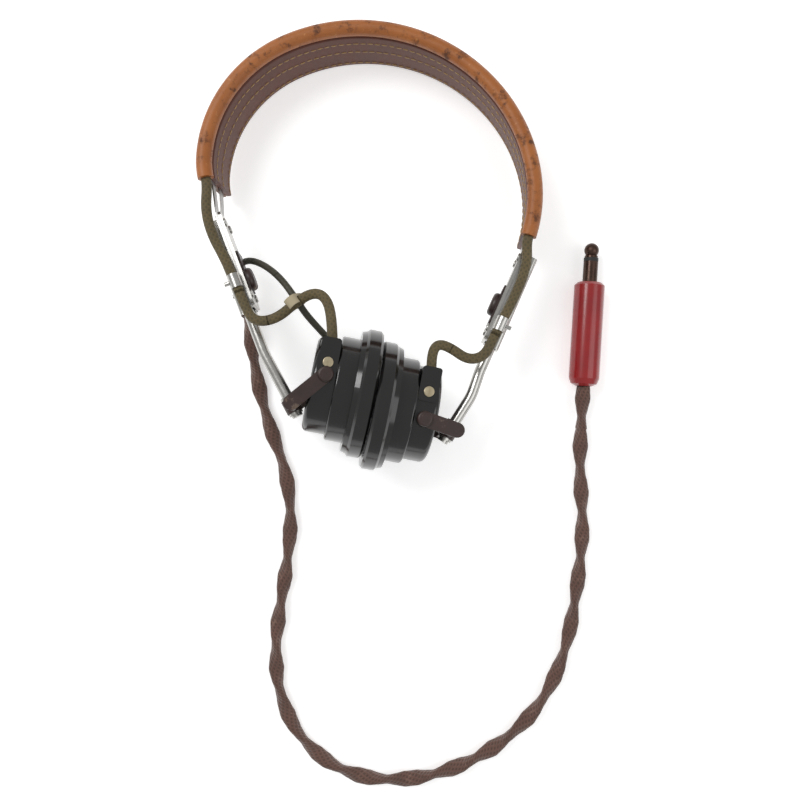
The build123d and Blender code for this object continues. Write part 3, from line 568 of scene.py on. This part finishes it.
# ---- cords ----
def smooth_line(name, points, carry=None, resolution=14):
    """The points down a NURBS route, in metres in the row frame."""
    curve = bpy.data.curves.new(name, "CURVE")
    curve.dimensions = "3D"
    spline = curve.splines.new("NURBS")
    spline.points.add(len(points) - 1)
    for point, at in zip(spline.points, points):
        there = carry @ Vector(at) if carry else Vector(at) * MM
        point.co = (*there, 1.0)
    spline.order_u = 3
    spline.use_endpoint_u = True
    spline.resolution_u = resolution
    holder = bpy.data.objects.new(name, curve)
    mesh = bpy.data.meshes.new_from_object(holder)
    line = [v.co.copy() for v in mesh.vertices]
    bpy.data.objects.remove(holder)
    bpy.data.meshes.remove(mesh)
    return line


def evenly(line, step):
    """The line again with points about step apart, and the distance along it of each."""
    run = [0.0]
    for a, b in zip(line, line[1:]):
        run.append(run[-1] + (b - a).length)
    count = max(2, round(run[-1] / step))
    found, i = [], 0
    for k in range(count + 1):
        at = run[-1] * k / count
        while i < len(run) - 2 and run[i + 1] < at:
            i += 1
        share = (at - run[i]) / max(run[i + 1] - run[i], 1e-12)
        found.append((line[i].lerp(line[i + 1], min(share, 1.0)), at))
    return found


def corded(line, half, twist, step=0.0006, sides=20, keep=lambda p: True):
    """A tube of oval section along a line. half(s) gives its two half-widths and twist(s) its turn."""
    spots = evenly(line, step)
    bm = bmesh.new()
    uv = bm.loops.layers.uv.new("along")
    up = Vector((0, 0, 1))
    rings = []
    for i, (at, s) in enumerate(spots):
        ahead = spots[min(i + 1, len(spots) - 1)][0]
        behind = spots[max(i - 1, 0)][0]
        way = (ahead - behind).normalized()
        side = way.cross(up).normalized()
        top = side.cross(way).normalized()
        a, b = half(s)
        turn = twist(s)
        ring = []
        for k in range(sides):
            t = 2 * pi * k / sides
            x, y = a * cos(t), b * sin(t)
            over = x * cos(turn) - y * sin(turn)
            above = x * sin(turn) + y * cos(turn)
            ring.append(bm.verts.new(at + side * over + top * above))
        rings.append((ring, s, keep(at)))
    for (one, s0, show), (two, s1, also) in zip(rings, rings[1:]):
        if not (show and also):
            continue
        for k in range(sides):
            face = bm.faces.new((one[k], one[(k + 1) % sides], two[(k + 1) % sides], two[k]))
            for loop, (u, v) in zip(face.loops, ((s0, k), (s0, k + 1), (s1, k + 1), (s1, k))):
                loop[uv].uv = (u, v / sides)
    loose = [v for v in bm.verts if not v.link_faces]
    bmesh.ops.delete(bm, geom=loose, context="VERTS")
    ends = [e for e in bm.edges if len(e.link_faces) == 1]
    bmesh.ops.holes_fill(bm, edges=ends, sides=0)
    return bm


CORD_HALF, CORD_THIN, CORD_PITCH = 3.3 * MM, 2.0 * MM, 42.0 * MM
LEAD_WIDE, LEAD_THIN = 2.1 * MM, 1.6 * MM


def make_main_cord():
    """Two conductors in one flat cotton braid, twisted as it has lain in use."""
    line = smooth_line("main_route", MAIN_CORD)
    wander = [random.uniform(-0.5, 0.5) for _ in range(16)]

    def half(s):
        pulse = 0.12 * MM * sin(s * 900)
        return CORD_HALF + pulse, CORD_THIN - pulse

    def twist(s):
        k = s / 0.03
        i = int(k) % 15
        return 2 * pi * s / CORD_PITCH + wander[i] + (wander[i + 1] - wander[i]) * (k - int(k))

    made = piece("main_cord_braid", corded(line, half, twist, 0.0008, 22), "brown_braid", 180)
    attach(made, "left_side")
    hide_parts("main_cord")
    length = sum((b - a).length for a, b in zip(line, line[1:]))
    tuple(line[0])
    [tuple(p) for p in line]


def make_lead(name, points, halves, look, cuts, bodies, node):
    """A lead that crosses the joints, made as runs between the cuts; the first run is attached to the first
    body.
    """
    line = smooth_line(name, points, place())
    sign = 1 if line[-1].x > line[0].x else -1
    spans = list(zip([None] + cuts, cuts + [None]))
    for i, (low, high) in enumerate(spans):
        def keep(p, low=low, high=high):
            before = low is None or sign * p.x >= sign * low * MM - 4e-4
            after = high is None or sign * p.x <= sign * high * MM + 4e-4
            return before and after
        bm = corded(line, lambda s: halves, lambda s: 0.35 * sin(s * 60), 0.0006, 16, keep)
        made = piece(f"{name}_{i}", bm, look, 180)
        if i == 0:
            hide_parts(node)
            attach(made, bodies[0])
        elif i < len(bodies):
            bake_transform(made)


def make_leads():
    left = ["left_side", "left_rod", "left_yoke", "left_receiver"]
    right = ["right_side", "right_rod", "right_yoke", "right_receiver"]
    wide = (LEAD_WIDE, LEAD_THIN)
    make_lead("left_olive_lead", LEFT_LEAD, wide, "olive_braid",
              [-52.0, -40.0, -27.0], left, "left_lead")
    make_lead("right_olive_lead", RIGHT_LEAD, wide, "olive_braid",
              [52.0, 44.0, 34.0], right, "right_lead")
    thin = (1.45 * MM, 1.3 * MM)
    make_lead("dark_braid_lead", DARK_LEAD, thin, "dark_braid",
              [-49.0, -38.0, -28.0], left, "dark_lead")


# ---- studio ----
CAMERA_AT = (13.35, -63.25, 366.0)
CAMERA_FIELD = 52.16


def make_studio():
    camera = bpy.data.cameras.new("camera")
    camera.sensor_width = 36.0
    camera.angle = radians(CAMERA_FIELD)
    camera.clip_start = 0.01
    holder = bpy.data.objects.new("camera", camera)
    holder.location = Vector(CAMERA_AT) * MM
    bpy.context.scene.collection.objects.link(holder)
    bpy.context.scene.camera = holder
    lamp("key", (-0.45, 0.35, 0.75), 0.5, 4.0)
    lamp("fill", (0.6, -0.2, 0.7), 0.7, 1.6)
    world = bpy.data.worlds.new("studio")
    world.use_nodes = True
    world.node_tree.nodes["Background"].inputs["Color"].default_value = colour(1, 1, 1)
    world.node_tree.nodes["Background"].inputs["Strength"].default_value = 0.5
    bpy.context.scene.world = world
    bpy.context.scene.view_settings.view_transform = "Standard"
    floor()


def lamp(name, at, size, power):
    light = bpy.data.lights.new(name, "AREA")
    light.shape = "DISK"
    light.size = size
    light.energy = power
    holder = bpy.data.objects.new(name, light)
    holder.location = at
    aim = Vector((0, -0.06, 0)) - Vector(at)
    holder.rotation_euler = aim.to_track_quat("-Z", "Y").to_euler()
    bpy.context.scene.collection.objects.link(holder)


def floor():
    bm = bmesh.new()
    bmesh.ops.create_grid(bm, x_segments=1, y_segments=1, size=3.0)
    mesh = bpy.data.meshes.new("floor")
    bm.to_mesh(mesh)
    bm.free()
    made = bpy.data.objects.new("floor", mesh)
    bpy.context.scene.collection.objects.link(made)
    look = bpy.data.materials.new("paper")
    look.use_nodes = True
    shader = look.node_tree.nodes["Principled BSDF"]
    shader.inputs["Base Color"].default_value = colour(0.9, 0.9, 0.9)
    shader.inputs["Roughness"].default_value = 0.9
    shader.inputs["Emission Color"].default_value = colour(1, 1, 1)
    shader.inputs["Emission Strength"].default_value = 0.45
    mesh.materials.append(look)



dress_cad()
make_leather()
make_springs()
make_stitching()
make_leads()
make_main_cord()
make_studio()
